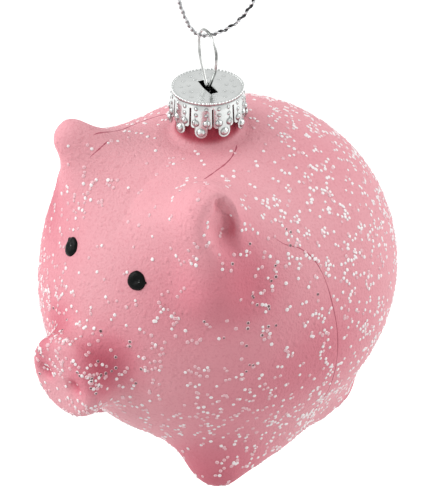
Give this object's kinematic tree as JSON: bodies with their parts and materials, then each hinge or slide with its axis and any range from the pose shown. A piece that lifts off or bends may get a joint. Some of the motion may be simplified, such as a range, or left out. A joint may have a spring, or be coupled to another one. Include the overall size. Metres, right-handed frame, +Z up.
{
  "type": "hanging pig ornament",
  "caption": "Round hollow pig that hangs from a cord loop, with raised black eyes, a crown cap over its neck and a sprung wire hanger.",
  "frame": {"origin": "the inside of the cord loop's top, just under its knot, where a hook or a twig carries the ornament", "axes": "+Z up along the hanging line and the neck's axis; the pig faces -Y and its left side is +X"},
  "size_m": [0.072, 0.0852, 0.1472],
  "materials": {
    "pink_shell": "matte pink with scattered clear and white glitter flakes",
    "black_paint": "thick black paint dab, slightly glossy",
    "cap_metal": "bright stamped silver",
    "wire_metal": "bright drawn wire",
    "silver_cord": "twisted metallic silver thread"
  },
  "bodies": {
    "cord": {"cord_loop": "silver_cord", "cord_knot": "silver_cord"},
    "hanger": {"hanger_wire": "wire_metal"},
    "cap": {"crown_cap": "cap_metal"},
    "pig": {"body_shell": "pink_shell", "left_eye": "black_paint", "right_eye": "black_paint"}
  },
  "joints": [
    {"name": "cord_swing", "type": "hinge", "parent": "cord", "child": "hanger", "pos_m": [0, 0, -0.046], "axis": [0.3746, 0.9272, 0], "range_deg": [-60, 60]},
    {"name": "cap_lift", "type": "slide", "parent": "hanger", "child": "cap", "axis": [0, 0, 1], "range_m": [0, 0.0026]},
    {"name": "pig_turn", "type": "hinge", "parent": "hanger", "child": "pig", "pos_m": [0, 0, -0.0625], "axis": [0, 0, 1], "continuous": true}
  ]
}
